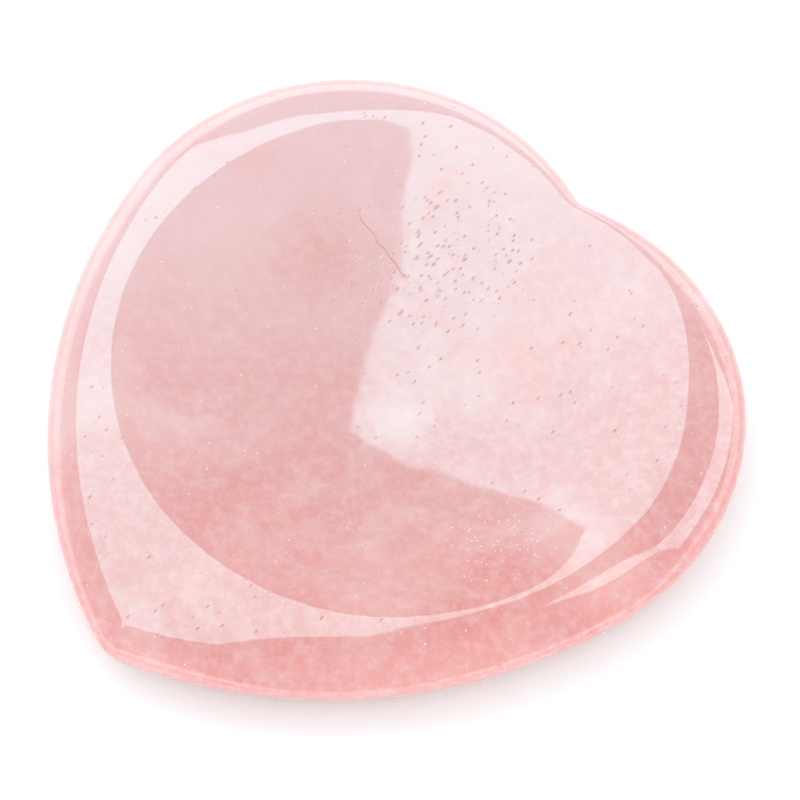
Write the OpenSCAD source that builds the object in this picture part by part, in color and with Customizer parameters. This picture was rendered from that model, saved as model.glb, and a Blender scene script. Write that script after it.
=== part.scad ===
// Heart-shaped gua sha stone, carved from one piece of rose quartz.
// A flat slab with a rounded scraping edge all round and a round thumb hollow in its top.
// The stone lies flat on Z = 0. Its notch points to +Y and its tip to -Y.

/* [Outline] */
// Width across the two lobes
heart_w = 40; // [33:0.5:50]
// Length from the top of the lobes to the tip
heart_l = 39.8; // [33:0.1:50]
// Radius of each lobe
lobe_r = 14.6; // [12:0.1:16]
// Radius of the two long flanks
flank_r = 30; // [26:0.1:50]
// Radius of the tip
tip_r = 2.6; // [2:0.1:5]
// Radius of the notch between the lobes
notch_r = 1.8; // [1:0.1:5]

/* [Slab] */
// Thickness of the slab
stone_t = 5; // [4:0.1:8]
// Height of the widest line of the rounded edge
widest_z = 3.2; // [2:0.1:3.5]
// Width of the rounding above the widest line, seen from above
upper_edge_w = 1.6; // [1:0.1:2.4]
// Width of the rounding below the widest line, seen from below
lower_edge_w = 2.4; // [1:0.1:3.5]

/* [Thumb hollow] */
// Diameter of the hollow where it meets the top face
hollow_d = 32; // [20:0.1:33]
// Depth of the hollow
hollow_depth = 2.4; // [1:0.1:3]
// Height over which the hollow's rim is softened
rim_blend = 0.3; // [0.05:0.05:1]
// Distance from the line through the lobe centres back to the hollow's centre
hollow_back = 1.6; // [0:0.1:5]

/* [Hidden] */

// Centres of the right-hand arcs; the left-hand ones mirror them
lobe_x = heart_w / 2 - lobe_r;
lobe_y = heart_l / 2 - lobe_r;
tip_y = tip_r - heart_l / 2;
notch_y = lobe_y + sqrt((lobe_r + notch_r) ^ 2 - lobe_x ^ 2);

// The flank's centre lies across the stone, where its arc touches the lobe's and the tip's arcs
lobe_to_tip = norm([lobe_x, lobe_y - tip_y]);
flank_to_lobe = flank_r - lobe_r;
flank_to_tip = flank_r - tip_r;
along = (flank_to_lobe ^ 2 - flank_to_tip ^ 2 + lobe_to_tip ^ 2) / (2 * lobe_to_tip);
aside = sqrt(flank_to_lobe ^ 2 - along ^ 2);
tipward = [-lobe_x, tip_y - lobe_y] / lobe_to_tip;
flank_x = lobe_x + along * tipward[0] + aside * tipward[1];
flank_y = lobe_y + along * tipward[1] - aside * tipward[0];

// Directions in which neighbouring arcs meet
lobe_end = atan2(lobe_y - flank_y, lobe_x - flank_x);
tip_end = atan2(tip_y - flank_y, -flank_x);
notch_end = atan2(notch_y - lobe_y, -lobe_x);

// Arcs from the notch down the right-hand side to the tip:
// centre, radius, first and last direction, steps, and 1 where it bulges out or -1 where it curves in
arcs = [
    [[0, notch_y], notch_r, -90, notch_end - 180, 4, -1],
    [[lobe_x, lobe_y], lobe_r, notch_end, lobe_end, 26, 1],
    [[flank_x, flank_y], flank_r, lobe_end, tip_end, 16, 1],
    [[0, tip_y], tip_r, tip_end, -90, 8, 1]
];

// The edge's section is two arcs of ellipses that leave the widest line upright.
// Each turns through edge_turn, so a faint crease is left where it meets its face.
edge_turn = 78;
edge_steps = 6;
// Share of the way to the stone's middle line that the edge may take at the narrow tip
widest_edge = 0.95;

// Ball that forms the hollow
hollow_r = hollow_d / 2;
hollow_y = lobe_y - hollow_back;
ball_r = (hollow_r ^ 2 + hollow_depth ^ 2) / (2 * hollow_depth);
ball_z = stone_t - hollow_depth + ball_r;

// Rings of points on the top: across the margin from the edge to the hollow's rim,
// then as shares of the rim's radius, closer together where the rim is soft
margin_shares = [0.6, 0.3, 0.1];
hollow_shares = [1, 0.97, 0.94, 0.9, 0.84, 0.75, 0.65, 0.54, 0.43, 0.32, 0.21, 0.1];
widest_rim = 0.96;

// Stations on the outline: centre, radius, direction and side of their arc, and 1 or -1 for right or left
right_side = [
    for (a = arcs) for (step = [0 : a[4] - 1])
        [a[0], a[1], a[2] + (a[3] - a[2]) * step / a[4], a[5], 1]
];
tip_station = [[0, tip_y], tip_r, -90, 1, 1];
left_side = [
    for (i = [len(right_side) - 1 : -1 : 1])
        let (s = right_side[i]) [s[0], s[1], s[2], s[3], -1]
];
stations = concat(right_side, [tip_station], left_side);
count = len(stations);

// Widest inset at a station that leaves its point short of the stone's middle line
function room(s) =
    s[3] < 0 || cos(s[2]) < 0 ? heart_w
    : widest_edge * (s[0][0] == 0 ? s[1] : s[1] + s[0][0] / cos(s[2]));

// Point of the outline at a station, moved inwards by inset
function outline_point(s, inset) =
    let (r = s[1] - s[3] * min(inset, room(s)))
    [s[4] * (s[0][0] + r * cos(s[2])), s[0][1] + r * sin(s[2])];

// The lower of two heights, rounded where they cross
function soft_min(a, b) =
    let (overlap = max(rim_blend - abs(a - b), 0) / rim_blend)
    min(a, b) - overlap ^ 2 * rim_blend / 4;

// Height of the top surface, where the slab alone would be at height z
function ground(point, z) =
    let (reach = norm(point - [0, hollow_y]))
    soft_min(z, ball_z - sqrt(ball_r ^ 2 - reach ^ 2));

function raised(point, z) = [point[0], point[1], z];

// Ring of the rounded edge, at an angle up (above 0) or down (below 0) from the widest line
function edge_ring(angle) =
    let (
        above = angle > 0,
        width = above ? upper_edge_w : lower_edge_w,
        rise = above ? stone_t - widest_z : widest_z,
        inset = width * (1 - cos(angle)) / (1 - cos(edge_turn)),
        z = widest_z + rise * sin(angle) / sin(edge_turn)
    )
    [
        for (s = stations)
            let (p = outline_point(s, inset))
            raised(p, above ? ground(p, z) : z)
    ];

// Ring of the top face, across the margin or inside the hollow
function face_ring(margin, hollow) = [
    for (s = stations)
        let (
            centre = [0, hollow_y],
            spoke = outline_point(s, upper_edge_w) - centre,
            rim = min(widest_rim, hollow_r / norm(spoke)),
            p = centre + spoke * (margin > 0 ? rim + (1 - rim) * margin : rim * hollow)
        )
        raised(p, ground(p, stone_t))
];

edge_rings = [for (step = [-edge_steps : edge_steps]) edge_ring(edge_turn * step / edge_steps)];
margin_rings = [for (share = margin_shares) face_ring(share, 1)];
hollow_rings = [for (share = hollow_shares) face_ring(0, share)];
rings = concat(edge_rings, margin_rings, hollow_rings);
middle = [0, hollow_y, stone_t - hollow_depth];

module heart_stone() {
    last = len(rings) - 1;
    points = concat([for (ring = rings) each ring], [middle]);
    sides = [
        for (j = [0 : last - 1]) for (i = [0 : count - 1])
            let (
                next = (i + 1) % count,
                low = j * count,
                high = low + count
            )
            each [[low + i, high + i, high + next], [low + i, high + next, low + next]]
    ];
    floor_of_hollow = [for (i = [0 : count - 1]) [last * count + i, len(points) - 1, last * count + (i + 1) % count]];
    underside = [for (i = [count - 1 : -1 : 0]) i];
    color("#efb9ba") polyhedron(points, concat([underside], sides, floor_of_hollow));
}

heart_stone();
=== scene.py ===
import math

import bpy
import numpy as np
from mathutils import Matrix, Vector, noise


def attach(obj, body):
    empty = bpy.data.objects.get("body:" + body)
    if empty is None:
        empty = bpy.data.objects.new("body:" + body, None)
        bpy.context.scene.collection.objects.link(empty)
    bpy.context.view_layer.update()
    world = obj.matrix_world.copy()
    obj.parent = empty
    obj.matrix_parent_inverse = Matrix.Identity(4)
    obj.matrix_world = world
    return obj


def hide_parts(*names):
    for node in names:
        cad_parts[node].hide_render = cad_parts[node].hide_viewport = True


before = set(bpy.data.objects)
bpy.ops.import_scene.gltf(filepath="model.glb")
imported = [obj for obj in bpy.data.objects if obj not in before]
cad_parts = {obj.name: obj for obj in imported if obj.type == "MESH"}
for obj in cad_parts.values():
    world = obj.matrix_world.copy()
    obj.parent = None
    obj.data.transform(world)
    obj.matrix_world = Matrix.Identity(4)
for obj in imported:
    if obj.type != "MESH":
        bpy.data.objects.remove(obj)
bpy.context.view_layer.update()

# Sizes are in millimetres until a mesh or a light is made, which takes metres.
MM = 0.001

# ---------------------------------------------------------------- sizes of the stone

HEART_W = 40.0
HEART_L = 39.8
LOBE_R = 14.6
FLANK_R = 30.0
TIP_R = 2.6
NOTCH_R = 1.8

STONE_T = 5.0
WIDEST_Z = 3.2
UPPER_EDGE_W = 1.6
LOWER_EDGE_W = 2.4
# Angle through which the lower half of the edge's section turns from the widest line to the underside
LOWER_TURN = math.radians(80)
# Share of the way to the middle line that the edge may take at the narrow tip
WIDEST_EDGE = 0.95

HOLLOW_R = 16.0
HOLLOW_DEPTH = 2.4
HOLLOW_BACK = 1.6
# The rim is softened over this height, and more on the side that was polished rounder
RIM_SOFT = 0.18
RIM_SOFTEST = 0.4
SOFTEST_FACES = math.radians(2)

# The top's margin is polished slightly round, so it slopes this steeply where it meets the edge.
# One flank was polished rounder than the rest; its outward direction is given from +X.
MARGIN_SLOPE = 0.2
ROUND_FLANK_SLOPE = 0.5
ROUND_FLANK_FACES = math.radians(-28)
# The edge is this much steeper than the margin where they meet, which leaves a crease
CREASE = 0.16
# Cosine of the angle over which the rounder side fades into the rest
ROUND_SIDE_SPREAD = 0.8

# Cosine below which an outward direction counts as one along the middle line
NEARLY_ALONG = 1e-6
# Beyond this share of its radius the hollow's ball is far above the slab, and its height is held
BALL_END = 0.9

# Stations of the mesh on the arcs of one side's outline
NOTCH_STATIONS = 10
LOBE_STATIONS = 150
FLANK_STATIONS = 100
TIP_STATIONS = 24
# Rings of the mesh under the stone, round the two halves of its edge, over the margin,
# across the softened rim and down the rest of the hollow
UNDERSIDE_RINGS = 8
LOWER_EDGE_RINGS = 20
UPPER_EDGE_RINGS = 17
MARGIN_RINGS = 23
RIM_RINGS = 13
HOLLOW_RINGS = 65
# Shares of the way out from the middle: the underside's first and last rings, the furthest that the
# hollow's rim may reach, the end of the rim's rings and the hollow's last ring
UNDERSIDE_SPAN = (0.12, 0.94)
WIDEST_RIM = 0.96
RIM_RINGS_END = 0.92
INNERMOST_RING = 0.01

# Unevenness that polishing by hand leaves on the top: size of its bumps, height and seed
POLISH_WAVES = [
    (8.0, 0.060, 846),
    (2.5, 0.006, 2),
    (0.9, 0.0016, 3),
]
# A seed moves the pattern by this much in each direction
WAVE_SHIFT = (17.3, 9.1, 5.7)
# The unevenness fades out over this height below the widest line
WAVE_FADE = 1.0
# Points inside the hollow's circle and above this height belong to the top
TOP_FROM_Z = 1.0

lobe_x = HEART_W / 2 - LOBE_R
lobe_y = HEART_L / 2 - LOBE_R
tip_y = TIP_R - HEART_L / 2
notch_y = lobe_y + math.sqrt((LOBE_R + NOTCH_R) ** 2 - lobe_x ** 2)
hollow_y = lobe_y - HOLLOW_BACK
ball_r = (HOLLOW_R ** 2 + HOLLOW_DEPTH ** 2) / (2 * HOLLOW_DEPTH)
ball_z = STONE_T - HOLLOW_DEPTH + ball_r

# ---------------------------------------------------------------- outline


def flank_centre():
    """Centre of the long flank's arc, which touches the lobe's and the tip's arcs from inside."""
    across = math.hypot(lobe_x, lobe_y - tip_y)
    to_lobe = FLANK_R - LOBE_R
    to_tip = FLANK_R - TIP_R
    along = (to_lobe ** 2 - to_tip ** 2 + across ** 2) / (2 * across)
    aside = math.sqrt(to_lobe ** 2 - along ** 2)
    toward = (-lobe_x / across, (tip_y - lobe_y) / across)
    return lobe_x + along * toward[0] + aside * toward[1], lobe_y + along * toward[1] - aside * toward[0]


def right_arcs():
    """Arcs from the notch down to the tip: centre, radius, two directions, steps, bulge out or in."""
    flank_x, flank_y = flank_centre()
    lobe_end = math.atan2(lobe_y - flank_y, lobe_x - flank_x)
    tip_end = math.atan2(tip_y - flank_y, -flank_x)
    notch_end = math.atan2(notch_y - lobe_y, -lobe_x)
    return [
        ((0, notch_y), NOTCH_R, -math.pi / 2, notch_end - math.pi, NOTCH_STATIONS, -1),
        ((lobe_x, lobe_y), LOBE_R, notch_end, lobe_end, LOBE_STATIONS, 1),
        ((flank_x, flank_y), FLANK_R, lobe_end, tip_end, FLANK_STATIONS, 1),
        ((0, tip_y), TIP_R, tip_end, -math.pi / 2, TIP_STATIONS, 1),
    ]


def outline_stations():
    """One row for each station round the stone: centre x and y, radius, direction, bulge, side."""
    right = []
    for (cx, cy), radius, first, last, steps, bulge in right_arcs():
        for step in range(steps):
            direction = first + (last - first) * step / steps
            right.append((cx, cy, radius, direction, bulge, 1))
    tip = (0, tip_y, TIP_R, -math.pi / 2, 1, 1)
    left = [row[:5] + (-1,) for row in reversed(right[1:])]
    return np.array(right + [tip] + left)


stations = outline_stations()
count = len(stations)


def outline(inset):
    """The outline's points, moved inwards by inset, but not past the stone's middle line."""
    cx, cy, radius, direction, bulge, side = stations.T
    level = np.cos(direction)
    open_side = (bulge < 0) | (level < NEARLY_ALONG)
    room = WIDEST_EDGE * (radius + np.where(open_side, 0, cx / np.where(open_side, 1, level)))
    room = np.where((bulge < 0) | (open_side & (cx != 0)), HEART_W, room)
    reach = radius - bulge * np.minimum(inset, room)
    return np.column_stack([side * (cx + reach * level), cy + reach * np.sin(direction)])


# ---------------------------------------------------------------- surface


def smooth_step(value, low, high):
    """0 up to low, 1 from high, and a soft ramp between."""
    share = np.clip((value - low) / (high - low), 0, 1)
    return share ** 2 * (3 - 2 * share)


def wave(points, size, height, seed):
    """Smooth unevenness of polishing by hand, with bumps about size across."""
    shift = Vector([seed * step for step in WAVE_SHIFT])
    return np.array([height * noise.noise(Vector((x, y, 0)) / size + shift) for x, y in points])


def top_height(points, slab_z):
    """Height of the top, where the bowl of the hollow is sunk into a slab of height slab_z."""
    across, along = points[:, 0], points[:, 1] - hollow_y
    reach = np.hypot(across, along)
    bowl = ball_z - np.sqrt(ball_r ** 2 - np.minimum(reach, ball_r * BALL_END) ** 2)
    facing = np.cos(np.arctan2(along, across) - SOFTEST_FACES)
    soft = RIM_SOFT + (RIM_SOFTEST - RIM_SOFT) * smooth_step(facing, ROUND_SIDE_SPREAD, 1)
    overlap = np.maximum(soft - np.abs(slab_z - bowl), 0) / soft
    return np.minimum(slab_z, bowl) - overlap ** 2 * soft / 4


def edge_slopes():
    """Slope of the margin where it meets the edge, at each station."""
    direction, bulge, side = stations.T[3:]
    facing = bulge * (side * np.cos(direction) * math.cos(ROUND_FLANK_FACES)
                      + np.sin(direction) * math.sin(ROUND_FLANK_FACES))
    return MARGIN_SLOPE + (ROUND_FLANK_SLOPE - MARGIN_SLOPE) * smooth_step(facing, ROUND_SIDE_SPREAD, 1)


def raised(points, heights):
    """Points of the plan with a height, or with one height each."""
    return np.column_stack([points, np.broadcast_to(heights, len(points))])


def lower_rings(centre):
    """Rings of points across the underside and up to the widest line."""
    foot = outline(LOWER_EDGE_W)
    rings = []
    for share in np.linspace(*UNDERSIDE_SPAN, UNDERSIDE_RINGS):
        rings.append(raised(centre + (foot - centre) * share, 0))
    for angle in np.linspace(LOWER_TURN, 0, LOWER_EDGE_RINGS):
        inset = LOWER_EDGE_W * (1 - math.cos(angle)) / (1 - math.cos(LOWER_TURN))
        rings.append(raised(outline(inset), WIDEST_Z * (1 - math.sin(angle) / math.sin(LOWER_TURN))))
    return rings


def upper_rings(centre):
    """Rings of points from the widest line over the edge and the margin into the hollow."""
    spokes = outline(UPPER_EDGE_W) - centre
    length = np.hypot(spokes[:, 0], spokes[:, 1])
    rim = np.minimum(WIDEST_RIM, HOLLOW_R / length)
    slope = edge_slopes()
    drop = slope * length * (1 - rim) / 2
    rise = STONE_T - WIDEST_Z - drop
    shoulder = rise - (slope + CREASE) * UPPER_EDGE_W
    rings = []
    for turn in np.linspace(0, 1, UPPER_EDGE_RINGS + 1)[1:]:
        points = outline(UPPER_EDGE_W * turn ** 2)
        slab_z = WIDEST_Z + 2 * turn * (1 - turn) * shoulder + turn ** 2 * rise
        rings.append(raised(points, top_height(points, slab_z)))
    for margin in np.linspace(1, 0, MARGIN_RINGS + 1)[1:]:
        share = rim + (1 - rim) * margin
        points = centre + spokes * share[:, None]
        rings.append(raised(points, top_height(points, STONE_T - drop * margin ** 2)))
    for share in hollow_shares():
        points = centre + spokes * (rim * share)[:, None]
        rings.append(raised(points, top_height(points, STONE_T)))
    return rings


def hollow_shares():
    """Shares of the rim's radius, dense at the rim and about even inside."""
    at_rim = np.linspace(1, RIM_RINGS_END, RIM_RINGS + 1)[1:]
    inside = np.linspace(RIM_RINGS_END, INNERMOST_RING, HOLLOW_RINGS + 1)[1:]
    return np.concatenate([at_rim, inside])


def stone_mesh():
    """The polished stone, as rings of quads closed by a fan of triangles below and in the hollow."""
    centre = np.array([0, hollow_y])
    rings = lower_rings(centre) + upper_rings(centre)
    points = np.vstack(rings + [[[0, hollow_y, 0]], [[0, hollow_y, STONE_T - HOLLOW_DEPTH]]])
    under_middle = len(points) - 2
    hollow_middle = len(points) - 1
    last = (len(rings) - 1) * count
    faces = []
    for ring in range(len(rings) - 1):
        low = ring * count
        for i in range(count):
            after = (i + 1) % count
            faces.append((low + i, low + count + i, low + count + after, low + after))
    for i in range(count):
        after = (i + 1) % count
        faces.append((i, after, under_middle))
        faces.append((last + after, last + i, hollow_middle))
    points[:, 2] += surface_detail(points)
    mesh = bpy.data.meshes.new("heart_stone_polished")
    mesh.from_pydata((points * MM).tolist(), [], faces)
    mesh.validate()
    mesh.polygons.foreach_set("use_smooth", [True] * len(mesh.polygons))
    return mesh


def surface_detail(points):
    """Unevenness of the polished top, fading out down the edge."""
    top = np.clip((points[:, 2] - WIDEST_Z + WAVE_FADE) / WAVE_FADE, 0, 1)
    inside = np.hypot(points[:, 0], points[:, 1] - hollow_y) < HOLLOW_R
    top = np.where(inside & (points[:, 2] > TOP_FROM_Z), 1, top)
    return top * sum(wave(points[:, :2], *row) for row in POLISH_WAVES)


# ---------------------------------------------------------------- material

# Hues of the silica and of the clouds in it. The second hue is painted light: the silica painted paler on
# the side that faces the lights.
DEEP_PINK = "#c98785"
LIT_SIDE_PINK = "#d0b2b5"
PALE_CLOUD = "#d5b7b7"
WARM_CLOUD = "#d5958d"
ROSY_PINK = "#c97f79"
WHITE_VEIL = "#dccccc"
# Hues of the pits, painted darker than the stone; of chipped stone, white as broken quartz and as painted
# glints; and of the stain in the crack
DARKER_PIT_PINK = "#bf7470"
SPLINTER_GLINT = "#f0e6e4"
RUST = "#d27c5c"

# Roughness of the polish, and of the broken stone in pits and cracks
POLISHED = 0.05
BROKEN = 0.45
QUARTZ_IOR = 1.544
# Light that enters comes out pink, about this far away
GLOW = 0.35
GLOW_COLOUR = (1.0, 0.55, 0.5)
GLOW_MM = 1.2

# Direction in which the stone is painted paler, as painted light on the side that faces the lights,
# the distances along it where that starts and ends, and the size and depth of the clouds that ruffle the
# change
LIT_SIDE = Vector((-0.86, 0.51, 0))
LIT_SIDE_FROM_MM = -11
LIT_SIDE_TO_MM = 31
LIT_SIDE_CLOUD_MM = 9
LIT_SIDE_RUFFLE_MM = 14

# Roughness of the noise of soft clouds and ragged outlines
SOFT_NOISE = 0.55
# Clouds: hue, size in millimetres, the noise at which they begin and are full, strength, and the
# noise's detail, roughness and twist. The first lie deep in the stone and the others near its surface.
DEEP_CLOUDS = [
    (PALE_CLOUD, 7, 0.45, 0.75, 0.55, 5.0, 0.55, 0.5),
    (WARM_CLOUD, 10, 0.55, 0.75, 0.65, 3.0, 0.55, 0.3),
]
NEAR_CLOUDS = [
    (PALE_CLOUD, 0.7, 0.35, 0.75, 0.5, 5.0, 0.75, 0.0),
    (WHITE_VEIL, 4, 0.5, 0.8, 0.28, 8.0, 0.6, 0.3),
]

# Patches, each with its centre and reach in millimetres and its strength
ROSY_PATCHES = [
    ((0.7, -9.0, 4.1), 6.0, 0.4),
    ((12.8, -4.4, 4.5), 7.0, 0.5),
    ((5.8, -15.0, 5.0), 6.0, 0.6),
    ((-9.2, 6.1, 3.4), 4.5, 0.3),
]
WHITE_PATCH = ((1.8, 1.9, 2.6), 3.4, 0.45)
# A patch of pits or chips is as strong as the share of the stone's grains that are broken there
COARSE_PIT_PATCH = ((-3.6, 10.8, 3.5), 7.0, 0.5)
FINE_PIT_PATCH = ((-3.6, 10.8, 3.5), 7.0, 0.6)
GLINT_CHIP_PATCH = ((11.6, -0.6, 4.0), 4.0, 0.8)
# A patch's outline is ragged: noise of this share of its reach moves it by up to the second share.
# It is full up to the third share of its reach, which the noise shortens, and gone at the fourth.
RAGGED_SIZE = 1 / 3
RAGGED_BY = 0.9
PATCH_FULL = 0.45
PATCH_GONE = 1.4

# Spacing and width of the pits and chips, in millimetres. The real ones are finer than can be seen
# at this scale, so they are drawn as coarse as they need to be to show.
COARSE_PITS = (0.42, 0.24)
FINE_PITS = (0.22, 0.16)
GLINT_CHIPS = (0.28, 0.17)
# Shares of grains with a fine pit, where the polish is best and worst, and of those with a chip
PITS_FEWEST = 0.01
PITS_MOST = 0.09
GLINT_CHIPS_ANYWHERE = 0.03
PIT_CLOUD_MM = 6
PIT_CLOUD_SPAN = (0.45, 0.65)
# Pits are drawn out along the direction of grinding
GRIND_TURN = math.radians(20)
GRIND_DRAW = (1, 0.45, 1)
# How much of their own hue the marks show, and how deep they are
PIT_TINT = 0.55
GLINT_CHIP_TINT = 0.8
CRACK_TINT = 0.7
MARK_DEPTH_MM = 0.04

# The hair crack: its ends and width in millimetres, the size and reach of its wandering, and the
# share of its length over which each end fades
CRACK_START = (-9.2, 9.6, 0)
CRACK_END = (-4.0, 8.6, 0)
CRACK_W = 0.14
WANDER_SIZE_MM = 1.6
WANDER_MM = 0.9
CRACK_FADE = 0.1
# Noise runs from 0 to 1, and this brings its middle to 0
TO_MIDDLE = (-0.5, -0.5, -0.5)


def linear(hex_colour):
    """An sRGB hex colour as linear red, green, blue and alpha."""
    channels = [int(hex_colour[i:i + 2], 16) / 255 for i in (1, 3, 5)]
    return tuple(c / 12.92 if c <= 0.04045 else ((c + 0.055) / 1.055) ** 2.4 for c in channels) + (1.0,)


def add(tree, kind, inputs, **settings):
    """Add a node, set its settings, and fill its inputs or link them to other nodes.

    A node given for an input stands for its first output that is in use."""
    made = tree.nodes.new("ShaderNode" + kind)
    for name, value in settings.items():
        setattr(made, name, value)
    for name, value in inputs.items():
        if isinstance(value, bpy.types.Node):
            value = next(output for output in value.outputs if output.enabled)
        if isinstance(value, bpy.types.NodeSocket):
            tree.links.new(value, made.inputs[name])
        else:
            made.inputs[name].default_value = value
    return made


def clouded(tree, place, colour, cloud):
    """The colour with a row of the cloud tables in it."""
    hue, size_mm, begins, full, strength, detail, rough, twist = cloud
    share = add(tree, "TexNoise", {
        "Vector": place,
        "Scale": 1 / (size_mm * MM),
        "Detail": detail,
        "Roughness": rough,
        "Distortion": twist,
    })
    share = add(tree, "MapRange", {"Value": share, "From Min": begins, "From Max": full, "To Max": strength},
                interpolation_type="SMOOTHSTEP")
    return add(tree, "Mix", {0: share, 6: colour, 7: linear(hue)}, data_type="RGBA")


def patch(tree, place, centre, reach_mm, strength):
    """A share that is strength at a point of the top and fades unevenly to 0 at its reach."""
    ragged = add(tree, "TexNoise", {
        "Vector": place,
        "Scale": 1 / (RAGGED_SIZE * reach_mm * MM),
        "Detail": 4.0,
        "Roughness": SOFT_NOISE,
    })
    ragged = add(tree, "Math", {0: ragged, 1: RAGGED_BY * reach_mm * MM}, operation="MULTIPLY")
    off = add(tree, "VectorMath", {0: place, 1: Vector(centre) * MM}, operation="DISTANCE")
    off = add(tree, "Math", {0: off, 1: ragged}, operation="ADD")
    return add(tree, "MapRange", {
        "Value": off,
        "From Min": PATCH_FULL * reach_mm * MM,
        "From Max": PATCH_GONE * reach_mm * MM,
        "To Min": strength,
        "To Max": 0.0,
    }, interpolation_type="SMOOTHSTEP")


def hair_crack(tree, place):
    """1 on the wandering hair crack and 0 away from it."""
    start = Vector(CRACK_START) * MM
    end = Vector(CRACK_END) * MM
    length = (end - start).length
    along = (end - start).normalized()
    across = Vector((-along.y, along.x, 0))
    wander = add(tree, "TexNoise", {"Vector": place, "Scale": 1 / (WANDER_SIZE_MM * MM), "Detail": 3.0})
    wander = add(tree, "VectorMath", {0: wander.outputs["Color"], 1: TO_MIDDLE}, operation="ADD")
    wander = add(tree, "VectorMath", {0: wander, "Scale": WANDER_MM * MM}, operation="SCALE")
    moved = add(tree, "VectorMath", {0: place, 1: wander}, operation="ADD")
    from_start = add(tree, "VectorMath", {0: moved, 1: -start}, operation="ADD")
    off = add(tree, "VectorMath", {0: from_start, 1: across}, operation="DOT_PRODUCT")
    off = add(tree, "Math", {0: off}, operation="ABSOLUTE")
    on = add(tree, "VectorMath", {0: from_start, 1: along}, operation="DOT_PRODUCT")
    fade = CRACK_FADE * length
    shares = [
        {"Value": off, "From Max": CRACK_W * MM / 2, "To Min": 1.0, "To Max": 0.0},
        {"Value": on, "From Max": fade},
        {"Value": on, "From Min": length - fade, "From Max": length, "To Min": 1.0, "To Max": 0.0},
    ]
    thin, begun, ended = (add(tree, "MapRange", share, interpolation_type="SMOOTHSTEP") for share in shares)
    whole = add(tree, "Math", {0: thin, 1: begun}, operation="MULTIPLY")
    return add(tree, "Math", {0: whole, 1: ended}, operation="MULTIPLY")


def pits(tree, place, spacing_mm, width_mm, share):
    """1 in small scattered pits, which a share of the grains have, and 0 on the polish between them."""
    grains = add(tree, "TexVoronoi", {"Vector": place, "Scale": 1 / (spacing_mm * MM), "Randomness": 1.0})
    hole = add(tree, "MapRange",
               {"Value": grains, "From Max": width_mm / spacing_mm / 2, "To Min": 1.0, "To Max": 0.0},
               interpolation_type="SMOOTHSTEP")
    chosen = add(tree, "SeparateColor", {"Color": grains.outputs["Color"]})
    chosen = add(tree, "Math", {0: share, 1: chosen}, operation="GREATER_THAN")
    return add(tree, "Math", {0: hole, 1: chosen}, operation="MULTIPLY")


def quartz_depths(tree, place):
    """Colour of the cloudy silica, painted paler as painted light towards the side that faces the lights,
    with clouds and rosy patches.
    """
    side = add(tree, "VectorMath", {0: place, 1: LIT_SIDE}, operation="DOT_PRODUCT")
    ruffle = add(tree, "TexNoise", {
        "Vector": place,
        "Scale": 1 / (LIT_SIDE_CLOUD_MM * MM),
        "Detail": 4.0,
        "Roughness": SOFT_NOISE,
        "Distortion": 0.6,
    })
    ruffle = add(tree, "Math", {0: ruffle, 1: LIT_SIDE_RUFFLE_MM * MM}, operation="MULTIPLY")
    side = add(tree, "Math", {0: side, 1: ruffle}, operation="ADD")
    # Painted light: the stone is painted paler towards the side that faces the lights, where light and the
    # bright studio's reflections fall.
    painted_lit = add(tree, "MapRange", {
        "Value": side,
        "From Min": LIT_SIDE_FROM_MM * MM,
        "From Max": LIT_SIDE_TO_MM * MM,
    }, interpolation_type="SMOOTHSTEP")
    colour = add(tree, "Mix", {0: painted_lit, 6: linear(DEEP_PINK), 7: linear(LIT_SIDE_PINK)}, data_type="RGBA")
    for cloud in DEEP_CLOUDS:
        colour = clouded(tree, place, colour, cloud)
    for rosy in ROSY_PATCHES:
        share = patch(tree, place, *rosy)
        colour = add(tree, "Mix", {0: share, 6: colour, 7: linear(ROSY_PINK)}, data_type="RGBA")
    for cloud in NEAR_CLOUDS:
        colour = clouded(tree, place, colour, cloud)
    return colour


def pitted(tree, place):
    """1 in the pits that the polishing opened, a few everywhere and many in one patch."""
    drawn = add(tree, "Mapping", {"Vector": place, "Rotation": (0, 0, GRIND_TURN), "Scale": GRIND_DRAW})
    coarse = pits(tree, drawn, *COARSE_PITS, patch(tree, place, *COARSE_PIT_PATCH))
    anywhere = add(tree, "TexNoise", {
        "Vector": place,
        "Scale": 1 / (PIT_CLOUD_MM * MM),
        "Detail": 2.0,
        "Roughness": SOFT_NOISE,
    })
    begins, full = PIT_CLOUD_SPAN
    anywhere = add(tree, "MapRange", {
        "Value": anywhere,
        "From Min": begins,
        "From Max": full,
        "To Min": PITS_FEWEST,
        "To Max": PITS_MOST,
    }, interpolation_type="SMOOTHSTEP")
    share = add(tree, "Math", {0: anywhere, 1: patch(tree, place, *FINE_PIT_PATCH)}, operation="ADD")
    fine = pits(tree, drawn, *FINE_PITS, share)
    return add(tree, "Math", {0: coarse, 1: fine}, operation="MAXIMUM")


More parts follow.
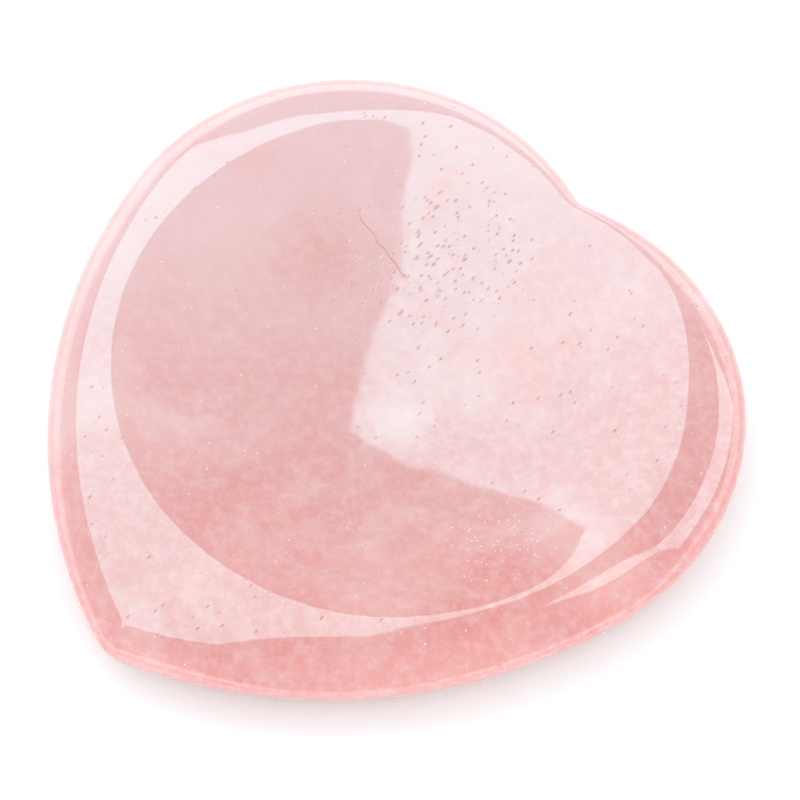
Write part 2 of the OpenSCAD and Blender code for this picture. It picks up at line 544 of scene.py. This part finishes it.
def rose_quartz():
    """Rose quartz, sawn, ground and tumbled to a polish: milky pink silica, as glossy as glass.

    The polish gives crisp reflections over a soft, cloudy depth. Pits and chips that it opened show
    as small dark and white marks without gloss, the white partly painted glints, and one hair crack is
    stained with rust."""
    material = bpy.data.materials.new("polished_rose_quartz")
    material.use_nodes = True
    tree = material.node_tree
    tree.nodes.clear()
    place = add(tree, "TexCoord", {}).outputs["Object"]

    holes = pitted(tree, place)
    glint_chipped = add(tree, "Math", {0: patch(tree, place, *GLINT_CHIP_PATCH), 1: GLINT_CHIPS_ANYWHERE}, operation="ADD")
    glint_chips = pits(tree, place, *GLINT_CHIPS, glint_chipped)
    crack = hair_crack(tree, place)
    white = patch(tree, place, *WHITE_PATCH)
    colour = quartz_depths(tree, place)
    # The chips' white is partly the white of broken quartz and partly painted glints, and the pits are
    # painted darker than the stone.
    for mark, tint, hue in (
        (holes, PIT_TINT, DARKER_PIT_PINK),
        (white, 1.0, WHITE_VEIL),
        (glint_chips, GLINT_CHIP_TINT, SPLINTER_GLINT),
        (crack, CRACK_TINT, RUST),
    ):
        share = add(tree, "Math", {0: mark, 1: tint}, operation="MULTIPLY")
        colour = add(tree, "Mix", {0: share, 6: colour, 7: linear(hue)}, data_type="RGBA")

    broken = add(tree, "Math", {0: holes, 1: crack}, operation="MAXIMUM")
    broken = add(tree, "Math", {0: broken, 1: glint_chips}, operation="MAXIMUM")
    gloss = add(tree, "MapRange", {"Value": broken, "To Min": POLISHED, "To Max": BROKEN},
                interpolation_type="SMOOTHSTEP")
    depth = add(tree, "Math", {0: broken, 1: -1.0}, operation="MULTIPLY")
    relief = add(tree, "Bump", {"Strength": 1.0, "Distance": MARK_DEPTH_MM * MM, "Height": depth})
    surface = add(tree, "BsdfPrincipled", {
        "Base Color": colour,
        "Roughness": gloss,
        "IOR": QUARTZ_IOR,
        "Normal": relief,
        "Subsurface Weight": GLOW,
        "Subsurface Radius": GLOW_COLOUR,
        "Subsurface Scale": GLOW_MM * MM,
    })
    add(tree, "OutputMaterial", {"Surface": surface})
    return material


# ---------------------------------------------------------------- the stone

mesh = stone_mesh()
mesh.materials.append(rose_quartz())
stone = bpy.data.objects.new("polished_heart_stone", mesh)
bpy.context.scene.collection.objects.link(stone)
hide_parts("heart_stone")
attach(stone, "root")

# ---------------------------------------------------------------- camera

# The camera looks down on the stone from VIEW_TURN round from its front and VIEW_RISE up
VIEW_TURN = math.radians(43.1)
VIEW_RISE = math.radians(61.7)
VIEW_ROLL = math.radians(0.45)
VIEW_DISTANCE = 304.8 * MM
VIEW_TARGET = Vector((0.90, 2.89, 2.5)) * MM
LENS = 241.9
SENSOR_W = 36
NEAREST = 0.01
FURTHEST = 20

away = Vector((-math.sin(VIEW_TURN), math.cos(VIEW_TURN), 0))
aside = Vector((math.cos(VIEW_TURN), math.sin(VIEW_TURN), 0))
up = Vector((0, 0, 1))


def from_stone(right, back, height):
    """A point or direction given as right, away and up, as the camera sees them."""
    return aside * right + away * back + up * height


def add_camera():
    back = from_stone(0, -math.cos(VIEW_RISE), math.sin(VIEW_RISE))
    camera = bpy.data.cameras.new("camera")
    camera.lens = LENS
    camera.sensor_width = SENSOR_W
    camera.clip_start = NEAREST
    camera.clip_end = FURTHEST
    holder = bpy.data.objects.new("camera", camera)
    image_up = back.cross(aside)
    turn = Matrix((aside, image_up, back)).transposed() @ Matrix.Rotation(VIEW_ROLL, 3, "Z")
    holder.matrix_world = Matrix.Translation(VIEW_TARGET + back * VIEW_DISTANCE) @ turn.to_4x4()
    bpy.context.scene.collection.objects.link(holder)
    bpy.context.scene.camera = holder


add_camera()

# ---------------------------------------------------------------- floor and light


# Width of the floor in metres
FLOOR_W = 6.0

# Soft lights, each with a corner and two edges given as right, away and up in metres, the radiance
# and the tint. The tints are cool, so that reflections turn the pink stone pale.
KEY_LIGHT = (
    (-1.05, 1.1, 0.9), (0.9, 0, 0.3), (0, -0.9, 0.9),
    1.0, (1, 1, 1),
)
MAIN_SOFTBOX = (
    (0.074, 0.566, 0.820), (-0.094, -0.616, 0.178), (-0.271, -0.092, -0.460),
    4.5, (0.45, 0.95, 1.0),
)
SIDE_SOFTBOX = (
    (0.539, 0.624, 0.567), (-0.217, -0.786, 0.262), (0.322, -0.158, -0.209),
    4.2, (0.5, 0.95, 1.0),
)

# Sine of the height up to which the lit white sweep reaches, over which it ends softly, and the
# strengths of the sweep and of the rest of the studio
SWEEP_TOP = 0.36
SWEEP_FADE = 0.04
SWEEP_STRENGTH = 3.0
STUDIO_STRENGTH = 1.03


def white_paper():
    """Uncoated white paper: matt, with no shine, so that only shadows show on it."""
    material = bpy.data.materials.new("white_paper")
    material.use_nodes = True
    shader = material.node_tree.nodes["Principled BSDF"]
    shader.inputs["Base Color"].default_value = linear("#f3fafb")
    shader.inputs["Roughness"].default_value = 0.9
    shader.inputs["Specular IOR Level"].default_value = 0.0
    return material


def add_floor():
    half = FLOOR_W / 2
    corners = [(-half, -half, 0), (half, -half, 0), (half, half, 0), (-half, half, 0)]
    floor_mesh = bpy.data.meshes.new("floor")
    floor_mesh.from_pydata(corners, [], [(0, 1, 2, 3)])
    floor_mesh.materials.append(white_paper())
    floor = bpy.data.objects.new("floor", floor_mesh)
    bpy.context.scene.collection.objects.link(floor)


def add_softbox(name, box, gloss):
    """A flat soft light, seen either in the polish alone or by matt surfaces alone.

    So the strength of the reflections is set by itself."""
    *parts, radiance, tint = box
    corner, along, across = (from_stone(*part) for part in parts)
    middle = corner + (along + across) / 2
    x_axis = along.normalized()
    z_axis = x_axis.cross(across).normalized()
    if z_axis.dot(middle) < 0:
        z_axis = -z_axis
    y_axis = z_axis.cross(x_axis)
    light = bpy.data.lights.new(name, "AREA")
    light.shape = "RECTANGLE"
    light.size = along.length
    light.size_y = abs(across.dot(y_axis))
    light.energy = radiance * math.pi * light.size * light.size_y
    light.color = tint
    lamp = bpy.data.objects.new(name, light)
    lamp.matrix_world = Matrix.Translation(middle) @ Matrix((x_axis, y_axis, z_axis)).transposed().to_4x4()
    lamp.visible_camera = False
    lamp.visible_glossy = gloss
    lamp.visible_diffuse = not gloss
    bpy.context.scene.collection.objects.link(lamp)


def add_world():
    """A white studio that is brighter near the horizon, where a lit white sweep stands."""
    world = bpy.data.worlds.new("studio")
    world.use_nodes = True
    tree = world.node_tree
    background = tree.nodes["Background"]
    background.inputs["Color"].default_value = linear("#ffffff")
    direction = add(tree, "TexCoord", {}).outputs["Generated"]
    height = add(tree, "SeparateXYZ", {"Vector": direction}).outputs["Z"]
    strength = add(tree, "MapRange", {
        "Value": height,
        "From Min": SWEEP_TOP - SWEEP_FADE,
        "From Max": SWEEP_TOP + SWEEP_FADE,
        "To Min": SWEEP_STRENGTH,
        "To Max": STUDIO_STRENGTH,
    }, interpolation_type="SMOOTHSTEP")
    tree.links.new(strength.outputs["Result"], background.inputs["Strength"])
    bpy.context.scene.world = world


add_floor()
add_softbox("key_light", KEY_LIGHT, gloss=False)
add_softbox("main_softbox", MAIN_SOFTBOX, gloss=True)
add_softbox("side_softbox", SIDE_SOFTBOX, gloss=True)
add_world()
bpy.context.scene.view_settings.view_transform = "Standard"
